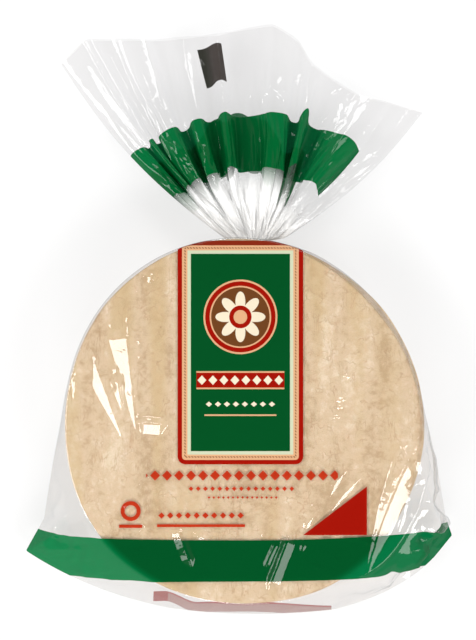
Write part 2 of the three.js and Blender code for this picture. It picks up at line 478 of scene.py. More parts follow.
def tortillaMaterial():
    # soft streaks along Y, blotches, pale round spots and two sizes of grain carry the colour
    # from dark to light, and a few long columns are yellower; thin scratches along Y are the
    # middle level of a stretched noise, the cracks are cell borders bent by noise, and a few
    # cell middles are the specks
    material, tree = newTree("cornTortilla")
    place = objectPlace(tree)

    def stretched(name):
        return noise(objectPlace(tree, (1.0, crumb["stretch"][name], 0.3)), *crumb[name])

    streaks = stretched("streaks")
    blotches = noise(place, *crumb["blotches"])
    grain = noise(place, *crumb["grain"])
    fineGrain = noise(place, *crumb["fineGrain"])
    spotCells = field(tree, "TexVoronoi",
                      {"Vector": place, "Scale": crumb["spots"], "Smoothness": 0.6}, "Distance",
                      feature="SMOOTH_F1")
    parts = (streaks, blotches, 1.0 - spotCells, grain, fineGrain)
    level = sum(part * share for part, share in zip(parts, crumb["shares"]))
    tones = (crumb["dark"], crumb["base"], crumb["light"])
    colour = ramp(level, list(zip(crumb["levels"], tones)), "EASE")
    columns = fade(stretched("columns"), *crumb["columnSpan"], 0.0, 0.6)
    colour = mixColour(columns, colour, crumb["column"])
    scratch = fade(abs(stretched("scratches") - 0.5), *crumb["scratchSpan"], 1.0, 0.0)
    scratch *= fade(noise(place, *crumb["scratched"]), *crumb["scratchedSpan"], 0.0, 1.0)
    bent = mixVector(tree, crumb["bend"], place, noise(place, *crumb["crackBend"], "Color"))
    border = field(tree, "TexVoronoi", {"Vector": bent, "Scale": crumb["cracks"]},
                   "Distance", feature="DISTANCE_TO_EDGE")
    cracked = fade(border, *crumb["crackSpan"], 1.0, 0.0)
    cracked *= fade(blotches, *crumb["crackedSpan"], 0.0, 1.0)
    marks = larger(scratch * 0.45, cracked * 0.5)
    colour = mixColour(marks, colour, crumb["crack"])
    cells = addNode(tree, "TexVoronoi", {"Vector": place, "Scale": crumb["specks"]},
                    feature="F1")
    chance = field(tree, "SeparateColor", {0: Field(cells.outputs["Color"])})
    spot = fade(Field(cells.outputs["Distance"]), *crumb["speckSpan"], 0.8, 0.0)
    colour = mixColour(spot * (chance > crumb["speckShare"]), colour, crumb["speck"])
    parts = (blotches, grain, fineGrain, marks)
    height = sum(part * depth for part, depth in zip(parts, crumb["depths"]))
    strength, depth = crumb["bump"]
    bump = field(tree, "Bump",
                 {"Height": height, "Strength": strength, "Distance": depth})
    shader = field(tree, "BsdfPrincipled",
                   {"Base Color": colour, "Roughness": 0.78, "Normal": bump,
                    "Subsurface Weight": 0.1, "Subsurface Scale": 1.5 * mm})
    addNode(tree, "OutputMaterial", {"Surface": shader})
    return material


def makeTortillas():
    material = tortillaMaterial()
    topRings, lowRings, innerRings = stack["rings"]
    topColumns, columns = [int(count * fineness) for count in stack["columns"]]
    top = stack["count"] - 1
    ringsOf = {0: int(lowRings * fineness), top: int(topRings * fineness)}
    for level in range(stack["count"]):
        rings = ringsOf.get(level, innerRings)
        points = tortillaPoints(level, rings, topColumns if level == top else columns)
        middle = points[[0, -1]].mean(axis=1)
        piece = gridPiece(f"tortilla_{level + 1:02d}", points, material,
                          around=True, startPole=middle[0], endPole=middle[1])
        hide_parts("bag")
    print("tortillas made:", stack["count"])


# film round the stack

bag = {
    "arc": (math.radians(12), math.radians(162)),   # beside the stack the crease is an arc
    "clearance": 1.2 * mm,
    "oval": 1.6 * mm,
    "ovalTurn": math.radians(118),
    "sideHeight": 26.25 * mm,     # height of the side crease beside the stack
    "cornerHeight": 13 * mm,      # and at the empty corners
    "cornerSpan": (15 * mm, -58 * mm),
    "topGap": 0.55 * mm,          # film over the top tortilla
    "floorGap": 0.15 * mm,        # film under the lowest one
    "rimRound": 1.3 * mm,
    "puff": 2.0 * mm,             # the film bulges out between rim and corner, most at this turn
    "puffTurn": math.radians(-32),
    "puffSpan": 0.36,
    "puffElse": 0.8 * mm,
    "skirt": 4.5 * mm,            # there it hangs steeply at first and then spreads out
    "shelf": 7.0 * mm,            # it runs on level past the rim before it falls, about this turn
    "shelfTurn": math.radians(-33),
    "shelfSpan": 0.42,
    "columns": 620,
    "flatRings": 120,
    "slopeRings": 34,
    "backRings": 34,
    "middleRings": 46,
    "rimGap": 0.6 * mm,           # film beyond the edge of the top tortilla
    "lowRimGap": 0.3 * mm,        # and of the lowest one
    "lowRimRound": 1.5 * mm,
    "shortBulge": 0.9 * mm,       # of a steep wall
    "crown": 0.4 * mm,            # rise of the front to its middle
    # of the creases, and of the face: height, length and seed
    "jitter": [(0.14 * mm, 8 * mm, 43), (0.05 * mm, 3.2 * mm, 44)],
    "slack": (0.15 * mm, 26 * mm, 41),
    # crumples of the loose film: seed, lengths in millimetres, slopes
    "frontFacets": (61, (24, 15, 10, 7), (0.3, 0.3, 0.26, 0.22)),
    "backFacets": (71, (26, 15, 10), (0.12, 0.12, 0.1)),
    # folds at the neck: height, number round it, phase
    "neckFolds": [(0.55 * mm, 17, 0.6), (0.35 * mm, 31, 0.0)],
    # corners of the crease seen from above, in millimetres
    "points": {
        "leftSide": (-98, -12), "leftCornerTop": (-104, -52), "leftCornerTip": (-113.5, -69),
        "leftBottom": (-82, -90), "bottomLeft": (-40, -98.5), "bottomMiddle": (0, -104.5),
        "bottomRight": (46, -99.5), "rightBottom": (81, -91), "rightCornerLow": (99, -71.5),
        "rightCornerTip": (107.5, -61), "rightCornerTop": (104, -51), "rightSide": (98, -14),
    },
}


def quadratic(start, control, end, count=40):
    # the curve (1-t)^2 start + 2 t (1-t) control + t^2 end
    t = np.linspace(0, 1, count)[:, None]
    return (1 - t) ** 2 * start + 2 * t * (1 - t) * control + t ** 2 * end


def creaseLine(count):
    # the side crease seen from above, at even steps: an arc beside the stack, then the
    # corners and the bottom as curves; its height sinks towards the corners
    turn = np.linspace(*bag["arc"], 120)
    radius = 90 * mm + bag["oval"] * np.cos(2 * (turn - bag["ovalTurn"])) + bag["clearance"]
    arc = np.stack([radius * np.cos(turn), radius * np.sin(turn)], -1)
    at = {key: np.array(value) * mm for key, value in bag["points"].items()}
    line = np.vstack([
        arc,
        quadratic(arc[-1], at["leftSide"], at["leftCornerTop"])[1:],
        at["leftCornerTip"][None],
        quadratic(at["leftCornerTip"], at["leftBottom"], at["bottomLeft"])[1:],
        quadratic(at["bottomLeft"], at["bottomMiddle"], at["bottomRight"])[1:],
        quadratic(at["bottomRight"], at["rightBottom"], at["rightCornerLow"])[1:],
        at["rightCornerTip"][None],
        at["rightCornerTop"][None],
        quadratic(at["rightCornerTop"], at["rightSide"], arc[0])[1:],
    ])
    along = np.concatenate([[0], np.cumsum(np.hypot(*np.diff(line, axis=0).T))])
    even = np.linspace(0, along[-1], count, endpoint=False)
    x, y = np.interp(even, along, line[:, 0]), np.interp(even, along, line[:, 1])
    return x, y, change(bag["sideHeight"], bag["cornerHeight"], *bag["cornerSpan"], y)


def neckPull(x, y, z):
    # folds that run along the side wall to the neck: cosines of the angle about the neck
    dx, dz = x - neck["gather"][0], z - neck["gather"][2]
    turn = np.arctan2(dz, dx)
    near = np.hypot(dx, dz)
    depth = ease(60 * mm, 12 * mm, near) * ease(60 * mm, 84 * mm, y)
    folds = [high * np.cos(count * turn + phase) for high, count, phase in bag["neckFolds"]]
    return depth * sum(folds)


# creases of the front film: start and end in millimetres, height, width of the left and the
# right flank as seen from start to end, where along it the crest is highest, and for some a
# bend to the left; a flank mirrors a softbox where it falls by about a third
frontFolds = [
    # the group at the left
    (-59.4, 49, -53.4, -11, 3.3, 6.0, 9.9, 0.12),
    (-64.6, 30, -60.5, 2, 1.7, 2.0, 5.0, 0.4),
    (-79.5, 36, -71, 29.5, 0.9, 2.4, 2.8, 0.7),
    (-74, 32.5, -63.5, 14, 1.3, 2.6, 3.9, 0.85),
    (-76, 33, -58.5, -15, 2.0, 3.6, 6.0, 0.3),
    (-57.5, 64, -59.0, 40, 0.8, 2.0, 2.4, 0.8),
    (-56, 62, -50, 71, 0.8, 1.8, 2.4, 0.5),
    (-46.5, 75, -47.5, 66, 1.0, 2.4, 3.0, 0.3),
    (-69, 52, -64, 44, 0.7, 1.6, 2.1, 0.5),
    (-84, 30, -86, 4, 0.8, 2.6, 2.4, 0.4),
    # thin arcs inside the corner at the right, each with its bend to the left
    (41, -43.5, 60, -19, 0.9, 2.0, 2.6, 0.35, 4.8),
    (38, -52.5, 67, -21.5, 0.9, 2.0, 2.6, 0.45, 3.0),
    (27.5, -57.5, 38.5, -43, 0.7, 1.6, 2.1, 0.4, 1.2),
    (62, -8, 73, -11, 0.6, 1.5, 1.8, 0.4),
    (75, 0, 81, -20, 0.8, 2.4, 2.2, 0.6),
    (80, -15, 91, -17.5, 0.8, 1.6, 1.9, 0.5),
    (81, -19, 89, -21, 0.6, 1.3, 1.5, 0.5),
    # small ones on the face
    (43, 10.3, 52.5, 11, 0.9, 1.9, 2.2, 0.5),
    (43, 7.0, 51.5, 7.2, 0.7, 1.5, 1.8, 0.5),
    (41.5, 2.6, 49.5, 1.8, 0.7, 1.4, 1.8, 0.5),
    (72, 40, 75, 47, 0.8, 1.7, 2.4, 0.5),
    (49, 20, 52, 25, 0.8, 1.7, 2.4, 0.5),
    (30, 60, 34, 72, 0.6, 1.3, 1.8, 0.5),
    # on the green band
    (-28, -52, -20, -60, 0.9, 2.0, 2.7, 0.7),
    (31, -58, 27, -67, 0.8, 2.3, 1.7, 0.5),
    (-68, -60, -62, -84, 1.8, 4.0, 5.4, 0.6),
]

# creases that run across the rim and over the loose film at the empty corners
cornerFolds = [
    (88, -8, 60, -81, 4.4, 14.5, 8.0, 0.15, -3),
    (95, -24, 79, -30, 1.0, 3.4, 3.4, 0.5),
    (103, -40, 86, -78, 4.4, 3.4, 5.2, 0.45),
    (108, -53, 94, -77, 3.0, 2.8, 4.0, 0.5),
    (84, -76, 62, -92, 2.6, 3.4, 5.0, 0.5),
    (106, -58, 88, -62, 2.0, 3.4, 3.4, 0.4),
    (-108, -57, -86, -46, 1.6, 5.0, 5.0, 0.4),
    (-112, -67, -80, -66, 1.8, 6.0, 6.0, 0.3),
    (-98, -80, -66, -76, 1.8, 6.0, 6.0, 0.5),
    (-92, -34, -99, -64, 1.4, 4.4, 4.4, 0.5),
]

# short ones with a long level crest, which rise this much faster
bluntness = 3.0
bluntFolds = [
    (-53, -0.6, -38.5, -1.8, 2.5, 3.4, 5.9, 0.3),
    (-47, 78, -51, 71, 0.8, 1.6, 2.3, 0.5),
    (-33.5, -53.5, -26, -74, 1.5, 3.0, 4.2, 0.3),
    (22.5, -56, 11, -86, 1.7, 4.7, 3.0, 0.4),
    (16, -60, 9.5, -74, 0.9, 2.5, 2.0, 0.4),
]

# thin ones that cut across the wide ones
thinFolds = [
    (-66, 38, -57, 33, 0.5, 1.1, 1.1, 0.5),
    (-62.5, 31, -60.5, 8, 0.45, 1.0, 1.0, 0.5),
    (-60, 16, -55, 12, 0.4, 1.0, 1.0, 0.5),
    (-72, 20, -66, 15, 0.4, 1.0, 1.0, 0.5),
    (90, -27, 79, -37, 0.6, 1.3, 1.3, 0.5),
    (81.5, -38, 73.5, -66, 1.0, 1.7, 1.5, 0.4),
    (88, -40, 79, -43, 0.5, 1.2, 1.2, 0.5),
]

strayFolds = {               # short ones at random; steep is their height to their width
    "count": 70,
    "seed": 15,
    "reach": 86,
    "turned": 0.7,           # how far they turn from the way out, in radians
    "length": (3, 12),
    "steep": (0.26, 0.42),
    "wide": (0.9, 1.7),
}


def creaseAt(x, y, heading, length, *shape):
    # a crease that starts at x, y, in the form of the lists above
    return (x, y, x + length * math.cos(heading), y + length * math.sin(heading), *shape)


def addStrayFolds():
    # short creases at random, mostly near the rim, where the film is pulled tight
    rng = np.random.default_rng(strayFolds["seed"])
    made = []
    for _ in range(strayFolds["count"]):
        turn = rng.uniform(0, 2 * math.pi)
        out = strayFolds["reach"] * rng.uniform(0.2, 1) ** 0.4
        x, y = out * math.cos(turn), out * math.sin(turn)
        heading = turn + rng.normal(0, strayFolds["turned"])
        length, wide = rng.uniform(*strayFolds["length"]), rng.uniform(*strayFolds["wide"])
        high = wide * rng.uniform(*strayFolds["steep"])
        flank, peak = wide * rng.uniform(0.8, 1.3), rng.uniform(0.25, 0.75)
        made.append(creaseAt(x, y, heading, length, high, wide, flank, peak))
    return made


def foldHeight(x, y, folds, blunt=1.0):
    # the highest of several creases, each a tent: its crest runs from start to end, rises to
    # its peak and falls again, and its flanks narrow with it, so that they stay flat facets;
    # a bend moves the crest aside by 4 t (1 - t) of it, and blunt folds rise that much faster
    total = np.zeros_like(x)
    for x0, y0, x1, y1, high, leftWide, rightWide, peak, *bend in folds:
        px, py = x - x0 * mm, y - y0 * mm
        length = math.hypot(x1 - x0, y1 - y0) * mm
        ux, uy = (x1 - x0) * mm / length, (y1 - y0) * mm / length
        along = (px * ux + py * uy) / length
        across = px * -uy + py * ux - sum(bend) * mm * 4 * along * (1 - along)
        taper = np.clip(blunt * np.minimum(along / peak, (1 - along) / (1 - peak)), 0, 1)
        wide = np.where(across > 0, leftWide, rightWide) * mm * np.maximum(taper, 1e-6)
        total = np.maximum(total, high * mm * taper * np.clip(1 - np.abs(across) / wide, 0, 1))
    return total


def facets(x, y, seed, lengths, slopes):
    # crumpled film: triangle waves of several headings added up, each of its own length and
    # slope, so that flat facets meet in sharp creases; a slow bend keeps the creases from
    # running straight
    rng = np.random.default_rng(seed)
    total = 0.0
    for length, slope in zip(lengths, slopes):
        heading, phase = rng.uniform(0, math.pi), rng.uniform(0, 1)
        along = (x * math.cos(heading) + y * math.sin(heading)) / (length * mm)
        across = (y * math.cos(heading) - x * math.sin(heading)) / (length * mm)
        t = along + phase + 0.22 * np.sin(1.7 * across + 5 * phase)
        total = total + zigzag(t) * length * mm / 2 * slope
    return total


def outwardNormals(points):
    # unit normals of a grid that closes round its columns, from the differences of neighbours
    alongRow = np.roll(points, -1, 1) - np.roll(points, 1, 1)
    alongColumn = np.gradient(points, axis=0)
    normal = np.cross(alongRow, alongColumn)
    return normal / np.maximum(np.linalg.norm(normal, axis=-1, keepdims=True), 1e-12)


def creasePolar(columns):
    # the side crease as angle, distance from the origin, and height
    x, y, z = creaseLine(columns)
    angle = np.arctan2(y, x)
    return angle, np.hypot(x, y) - neckPress(angle, z), z


def revolve(profile, angle):
    # points from a profile of distances and heights at each angle
    out, z = profile[:, 0], profile[:, 1]
    return out, z, np.stack([out * np.cos(angle), out * np.sin(angle), z], -1)


def frontFilm(columns):
    # rows from the side crease up the wall, round the rim and over the front to its middle.
    # The wall is straight between crease and rim, plus a parabola and a sine across it; the rim
    # is a quadratic curve; the creases and facets then lift the film along its normals
    angle, reach, creaseZ = creasePolar(columns)
    top = stack["height"] + bag["topGap"]
    rim = edgeReach(angle, np.full_like(angle, stack["leanSpan"][1])) + bag["rimGap"]
    shelf = bag["shelf"] * turnBell(angle, bag["shelfTurn"], bag["shelfSpan"], 4)
    run, drop = reach - rim, top - creaseZ
    slant = np.hypot(run, drop)
    level = np.full_like(rim, top)
    onTop = np.stack([rim + shelf - bag["rimRound"], level])
    corner = np.stack([rim + shelf, level])
    onWall = corner + np.stack([run - shelf, -drop]) / slant * bag["rimRound"]
    share = np.linspace(0, 1, int(bag["slopeRings"] * fineness))[:, None]
    wall = between(np.stack([reach, creaseZ]), onWall, share[..., None])
    puffHere = turnBell(angle, bag["puffTurn"], bag["puffSpan"])
    puff = bag["puff"] * puffHere + bag["puffElse"]
    bulge = change(bag["shortBulge"], puff, 3 * mm, 12 * mm, run) * 4 * share * (1 - share)
    bulge = bulge - bag["skirt"] * puffHere * np.sin(2 * math.pi * share)
    wall[:, 0] += bulge * drop / slant
    wall[:, 1] += bulge * run / slant
    t = np.linspace(0, 1, 9)[1:-1, None, None]
    turned = (1 - t) ** 2 * onWall + 2 * t * (1 - t) * corner + t ** 2 * onTop
    share = np.linspace(1, 0.012, int(bag["flatRings"] * fineness))[:, None]
    flat = np.stack([share * onTop[0], top + bag["crown"] * (1 - share ** 2) + 0 * onTop[0]], 1)
    out, z, points = revolve(np.vstack([wall, turned, flat]), angle)
    normals = outwardNormals(points)
    x, y = points[..., 0], points[..., 1]
    upWall = wallRow(points)
    onFlat = ease(rim + shelf + 1 * mm, rim + shelf - 6 * mm, out)
    bentX = x + sum(high * waves(x, y, length, seed) for high, length, seed in bag["jitter"])
    lift = foldHeight(bentX, y, frontFolds)
    lift = np.maximum(lift, foldHeight(bentX, y, bluntFolds, bluntness))
    lift = (lift + foldHeight(x, y, thinFolds + addStrayFolds())) * onFlat
    lift = lift + foldHeight(bentX, y, cornerFolds) * ease(0, 0.07, upWall)
    high, length, seed = bag["slack"]
    lift = lift + (high * (1 + waves(x, y, length, seed)) + softWave(x, y)) * onFlat
    lift = lift + neckPull(x, y, z) * ease(0, 0.1, upWall) * ease(46 * mm, 36 * mm, z)
    loose = ease(2 * mm, 14 * mm, out - rim - shelf) * ease(0, 0.12, upWall)
    loose = loose * change(0.55, 1.6, 0, 60 * mm, x) * change(0.45, 1, -92 * mm, -66 * mm, y)
    lift = lift + loose * facets(x, y, *bag["frontFacets"])
    steps = np.hypot(np.diff(out, axis=0), np.diff(z, axis=0))
    length = np.cumsum(np.vstack([steps, steps[-1:]])[::-1], axis=0)[::-1]
    extra = (length - out) * ease(40 * mm, 70 * mm, y)
    uv = np.stack([x, y + extra], -1) / mm / printSpan + 0.5
    return points + normals * lift[..., None], uv


def wallRow(points):
    # 0 on the first row of a grid, 1 on its last, as one value for each row
    return np.linspace(0, 1, len(points))[:, None]


def backFilm(columns):
    # rows from the middle of the back out to its rim and up to the side crease, by powers of
    # the way out, steeper where the crease is close to the rim
    angle, reach, creaseZ = creasePolar(columns)
    rim = edgeReach(angle, np.full_like(angle, 2 * mm)) + bag["lowRimGap"]
    low, start = bag["floorGap"], rim - bag["lowRimRound"]
    share = np.linspace(0.03, 1, int(bag["middleRings"] * fineness))[:, None]
    flat = np.stack([share * start, low + 0 * share * rim], 1)
    share = np.linspace(0, 1, int(bag["backRings"] * fineness))[1:, None]
    run = reach - rim
    upright = ease(12 * mm, 4 * mm, run)
    late = 1 - (1 - share) ** 2.6
    out = between(between(start, reach, share), between(start, reach, late), upright)
    z = between(low, creaseZ, between(share ** 1.15, share ** 2.6, upright))
    out, z, points = revolve(np.vstack([flat, np.stack([out, z], 1)]), angle)
    x, y = points[..., 0], points[..., 1]
    loose = np.sin(math.pi * np.clip((out - rim) / np.maximum(run, 1e-6), 0, 1))
    loose = loose * ease(4 * mm, 14 * mm, run)
    points[..., 2] += loose * facets(x, y, *bag["backFacets"])
    pull = neckPull(x, y, z) * ease(1, 0.9, wallRow(points))
    points = points + outwardNormals(points) * pull[..., None]
    points[..., 2] = np.maximum(points[..., 2], 0.1 * mm)
    uv = np.stack([x, y], -1) / mm / printSpan + 0.5
    return points, uv


# neck and tail

neck = {
    "gather": (3.8 * mm, 82.7 * mm, 24 * mm),    # where the rays of the fan meet
    "start": 0.06,                               # share of the way to the mouth where it begins
    "bow": 0.115,                                # outward bow of its sides, as a share
    "tieY": 90.6 * mm,                           # the tie pinches the film here
    "tieSpan": 1.2 * mm,
    "tieMiddle": 2.0 * mm,
    "pinch": (0.455, 0.115),                     # how much, and more on the right
    "halfHeight": 3.6 * mm,
}

tail = {
    "mouth": [(-95, 183), (-83, 195), (-50, 195.5), (-14, 198.5), (15, 203), (28, 195),
              (35, 183), (47, 174.5), (60, 166.5), (75, 163), (92, 158)],
    "cornerRound": 0.4,           # 0 joins those points by straight lines, 1 rounds them most
    "mouthHeight": 14 * mm,
    "mouthHalf": 3.6 * mm,
    "ruffleHalf": 6.0 * mm,
    "band": (45.5, 74.0),         # of the print, in millimetres from the gather
    "bandEnd": 102.0,             # it stops here on the right of the front wall
    "backBandEnd": 62.0,          # and here on the back wall
    "backShift": 11.0,            # the back wall's band lies nearer the neck at both sides
    "mark": (-21.0, -3.5, 91.0, 111.0),
    "markLean": 0.12,             # it leans along its ray
    "filmWidth": 236 * mm,
    "fullness": 1.08,             # how much of that the folds take up
    "bigFolds": 8.0,
    "smallFolds": 24.0,
    # what follows changes from the first value to the second between two shares of the way out
    "smallSwing": (1.75, 0.3, 0.06, 0.46),      # of the small folds, in radians
    "smallFade": (1.0, 0.06, 0.42, 0.66),
    "sides": (1.0, 0.6, 0.7, 1.0),              # of the big ones, towards both sides
    "shallow": (0.35, 1.0, 0.14, 0.42),         # the folds are lower near the tie
    "limit": (2.2 * mm, 7.5 * mm, 0.12, 0.4),   # how high they reach
    "limitFade": (1.0, 0.55, 0.6, 1.0),
    "tallPleat": (0.42, 0.035, 5.0),            # its place and width across, and its height
    "wrinkles": (19, 33, 52, 76),
    "wrinkleHigh": 26 * mm,       # shared out among that many wrinkles
    # short creases at random: how many, then their turn about the gather, their distance
    # from it, how far they turn from the way out, their length and their width
    "strayFolds": 70,
    "strayTurn": (0.18 * math.pi, 0.82 * math.pi),
    "strayFar": (22, 100),
    "strayTurned": 0.5,
    "strayLength": (5, 18),
    "strayWide": (0.9, 2.4),
    "columns": 460,
    "rows": 150,
    "rowCrowding": 1.3,           # the rows lie closer near the tie
}


def mouthPoints(side):
    # the free edge for side -1 to 1, left to right: a smooth curve through the named points,
    # by cubic pieces whose slopes are the differences of the neighbouring points
    knots = np.array(tail["mouth"]) * mm
    along = np.concatenate([[0], np.cumsum(np.hypot(*np.diff(knots, axis=0).T))])
    slope = np.gradient(knots, along, axis=0)
    at = np.clip((side + 1) / 2, 0, 1) * along[-1]
    i = np.clip(np.searchsorted(along, at, side="right") - 1, 0, len(knots) - 2)
    span = (along[i + 1] - along[i])[..., None]
    t = (at - along[i])[..., None] / span
    h00, h10 = 2 * t ** 3 - 3 * t ** 2 + 1, t ** 3 - 2 * t ** 2 + t
    h01, h11 = -2 * t ** 3 + 3 * t ** 2, t ** 3 - t ** 2
    slope = slope * tail["cornerRound"]
    return h00 * knots[i] + h10 * span * slope[i] + h01 * knots[i + 1] + h11 * span * slope[i + 1]


def tailMiddle(side, out):
    # the middle sheet: rays from the gather to the mouth, bowed out at the sides by the sine
    # of the way out, and pinched by a bell curve at the tie
    edge = mouthPoints(side)
    gather = neck["gather"]
    spread = out + neck["bow"] * np.sin(math.pi * out ** 0.9)
    x = between(gather[0], edge[..., 0], spread)
    y = between(gather[1], edge[..., 1], out)
    pinch, rightward = neck["pinch"]
    pinch = (pinch + rightward * side) * np.exp(-((y - neck["tieY"]) / neck["tieSpan"]) ** 2)
    x = between(x, neck["tieMiddle"], pinch)
    z = between(gather[2], tail["mouthHeight"], out) + 0 * side
    return np.stack([x, y, z], -1)


def meanCosine(bend):
    # how much of its own width a wavy sheet keeps when it swings by bend to either side
    turn = np.linspace(0, 2 * math.pi, 64, endpoint=False)
    return np.cos(np.multiply.outer(bend, np.sin(turn))).mean(-1)


def bendFor(keep):
    # the swing that leaves the share keep of the sheet's width
    table = np.linspace(0, 2.3, 200)
    return np.interp(-keep, -meanCosine(table), table)


def tailWall(sign, seed):
    # one wall of the tail. Across it the film swings to and fro about its course, in big and
    # small folds, by as much as keeps the film's own width; its run and its rise are the
    # running sums of the cosine and the sine of that swing
    rng = np.random.default_rng(seed)
    columns, rows = int(tail["columns"] * fineness), int(tail["rows"] * fineness)
    s = np.linspace(-1, 1, columns)[None, :]
    out = between(neck["start"], 1.0, np.linspace(0, 1, rows) ** tail["rowCrowding"])[:, None]
    course = tailMiddle(np.linspace(-1, 1, 60)[None, :], out)
    width = np.linalg.norm(np.diff(course, axis=1), axis=-1).sum(axis=1)[:, None]
    keep = np.clip(tail["fullness"] * width / tail["filmWidth"], 0.05, 0.97)
    small = change(*tail["smallSwing"], out) * change(*tail["smallFade"], out)
    big = bendFor(np.clip(keep / meanCosine(small[:, 0])[:, None], 0.05, 0.985))
    warp = sum(rng.normal(0, 0.10 / k) * np.sin(k * math.pi * s + rng.uniform(0, 6.3))
               for k in range(1, 6))
    bigTurn = tail["bigFolds"] * math.pi * (s + warp) + 0.5 * np.sin(2.2 * out + 3 * s + seed)
    smallTurn = tail["smallFolds"] * math.pi * (s + 0.5 * warp) + 1.1 * np.sin(4 * out + 9 * s)
    uneven = 1 + 0.28 * np.sin(5.3 * s + seed) + 0.2 * np.sin(11.1 * s + 2 * seed)
    uneven = uneven * change(*tail["sides"], np.abs(s))
    swing = big * uneven * np.sin(bigTurn + seed) + small * np.sin(smallTurn)
    step = tail["filmWidth"] / columns
    run = np.cumsum(np.cos(swing), axis=1)
    rise = np.cumsum(np.sin(swing), axis=1) * step
    run = (run - run[:, :1]) / (run[:, -1:] - run[:, :1]) * 2 - 1
    rise = rise - between(rise[:, :1], rise[:, -1:], (s + 1) / 2)
    rise = rise - smoothRows(rise, int(columns / tail["bigFolds"]))
    side = np.clip(run, -1, 1)
    points = tailMiddle(side, out)
    half = change(neck["halfHeight"], tail["ruffleHalf"], 0.12, 0.45, out)
    half = change(half, tail["mouthHalf"], 0.6, 1, out)
    lens = np.sqrt(np.clip(1 - np.abs(side) ** 4, 0, 1))
    limit = change(*tail["limit"], out) * change(*tail["limitFade"], out)
    rise = limit * np.tanh(rise / limit)
    shallow = change(*tail["shallow"], out)
    x, y = points[..., 0], points[..., 1]
    wrinkle = wrinkles(s, out, seed) * ease(1.0, 0.3, out)
    small = foldHeight(x, y, strayTailFolds(seed)) * ease(0.1, 0.25, out)
    points[..., 2] += lens * (sign * half + rise * shallow + wrinkle + sign * small)
    points[..., 2] = np.maximum(points[..., 2], 0.6 * mm)
    gather = np.array(neck["gather"])
    away = np.hypot(points[..., 0] - gather[0], points[..., 1] - gather[1])
    pleat = rise / limit
    away = (away / (1 + 0.1 * side ** 2) - 0.42 * rise) / mm
    across = s * tail["filmWidth"] / 2 / mm
    if sign > 0:
        place, wide, high = tail["tallPleat"]
        away = away - high * np.exp(-((s - place) / wide) ** 2)
    else:
        toSides = np.maximum(ease(0.15, 0.6, -side), 1.4 * ease(0.02, 0.3, side))
        away = away + tail["backShift"] * toSides
        across = across + printSpan        # its own part of the print map
    uv = np.stack([across / printSpan + 0.5 + 0 * away, away / printSpan], -1)
    return points, uv, pleat


def wrinkles(s, out, seed):
    # fine creases that run out from the tie: triangle waves across, each with its own number,
    # bent by sines of the way out, the finer ones fading first
    rng = np.random.default_rng(seed + 50)
    total = 0.0
    for count in tail["wrinkles"]:
        bend = rng.uniform(0.2, 0.9) * np.sin(rng.uniform(3, 8) * out + rng.uniform(0, 6.3) + 4 * s)
        t = count * s + rng.uniform(0, 1) + bend
        high = tail["wrinkleHigh"] / count * ease(0.75, 0.1, out * count / 40)
        total = total + zigzag(t) * high
    return total


def strayTailFolds(seed):
    # short sharp creases at random over the band and the neck
    rng = np.random.default_rng(seed + 80)
    made = []
    for _ in range(tail["strayFolds"]):
        turn, far = rng.uniform(*tail["strayTurn"]), rng.uniform(*tail["strayFar"])
        x = neck["gather"][0] / mm + far * math.cos(turn)
        y = neck["gather"][1] / mm + far * math.sin(turn)
        heading = turn + rng.normal(0, tail["strayTurned"])
        length, wide = rng.uniform(*tail["strayLength"]), rng.uniform(*tail["strayWide"])
        high, flank = wide * rng.uniform(0.25, 0.5), wide * rng.uniform(0.8, 1.5)
        made.append(creaseAt(x, y, heading, length, high, wide, flank, rng.uniform(0.2, 0.8)))
    return made


def smoothRows(values, span):
    # the running mean of each row over span columns, with the ends held
    padded = np.pad(values, ((0, 0), (span // 2, span - span // 2 - 1)), mode="edge")
    total = np.cumsum(np.pad(padded, ((0, 0), (1, 0))), axis=1)
    return (total[:, span:] - total[:, :-span]) / span


# prints and film

ink = {                     # colour, and how much of it is solid rather than tinted film
    "green": (tone(4, 80, 35), 0.95),
    "band": (tone(2, 117, 64), 0.96),
    "bandTail": (tone(2, 100, 48), 0.9),
    "bandRight": (tone(2, 104, 56), 0.95),
    # the band with the shade of the food behind it painted in
    "paintedShadeBand": (tone(2, 80, 36), 0.95),
    "red": (tone(158, 20, 8), 0.95),
    "redLine": (tone(186, 52, 26), 0.85),
    # the red with the shade of the rim painted in
    "paintedRimShadeRed": (tone(132, 40, 22), 0.94),
    "peach": (tone(222, 172, 130), 0.96),
    "pale": (tone(205, 212, 182), 0.96),
    "cream": (tone(238, 226, 200), 0.96),
    "brown": (tone(110, 66, 34), 0.94),
    "mark": (tone(66, 60, 57), 0.97),
    "faded": (tone(180, 132, 126), 0.55),
    "fadedDark": (tone(170, 70, 66), 0.7),
}

panel = {                   # the label on the front, in millimetres of flat film
    "middle": (-2.3, 34.2),
    "half": (31.4, 55.8),
    "corner": 4.0,
    "border": [(0.0, "red"), (-2.2, "peach"), (-4.9, "pale"), (-6.6, "green")],
    "rimFrom": 87.6,                # its red is darker from this height on: painted shade where the film turns over the rim
    "stitches": (-4.0, -3.4, 1.5, 0.38),    # from depth to depth, pitch and half length
    "medallion": (-2.3, 52.0),
    "rings": [(18.5, "peach"), (17.575, "red"), (15.355, "peach"), (14.615, "brown")],
    "petals": (4.0, 6.5, 6.0),      # half their number, how far they stand out, and from where
    "eyes": [(5.6, "red"), (3.4, "peach")],
    "strip": (17.0, 24.0, 22.0),    # from y to y, and half width
    "stripRims": [(1.0, "peach"), (0.2, "red")],
    "stripRow": (20.5, 5.5, 2.2, 2.4),      # a row of diamonds: y, pitch, half width and height
    "smallRow": (8.5, 4.5, 1.6, 1.3),
    "line": (2.6, 3.4),
    "smallHalf": 18.0,              # half width of the small row and the line
}

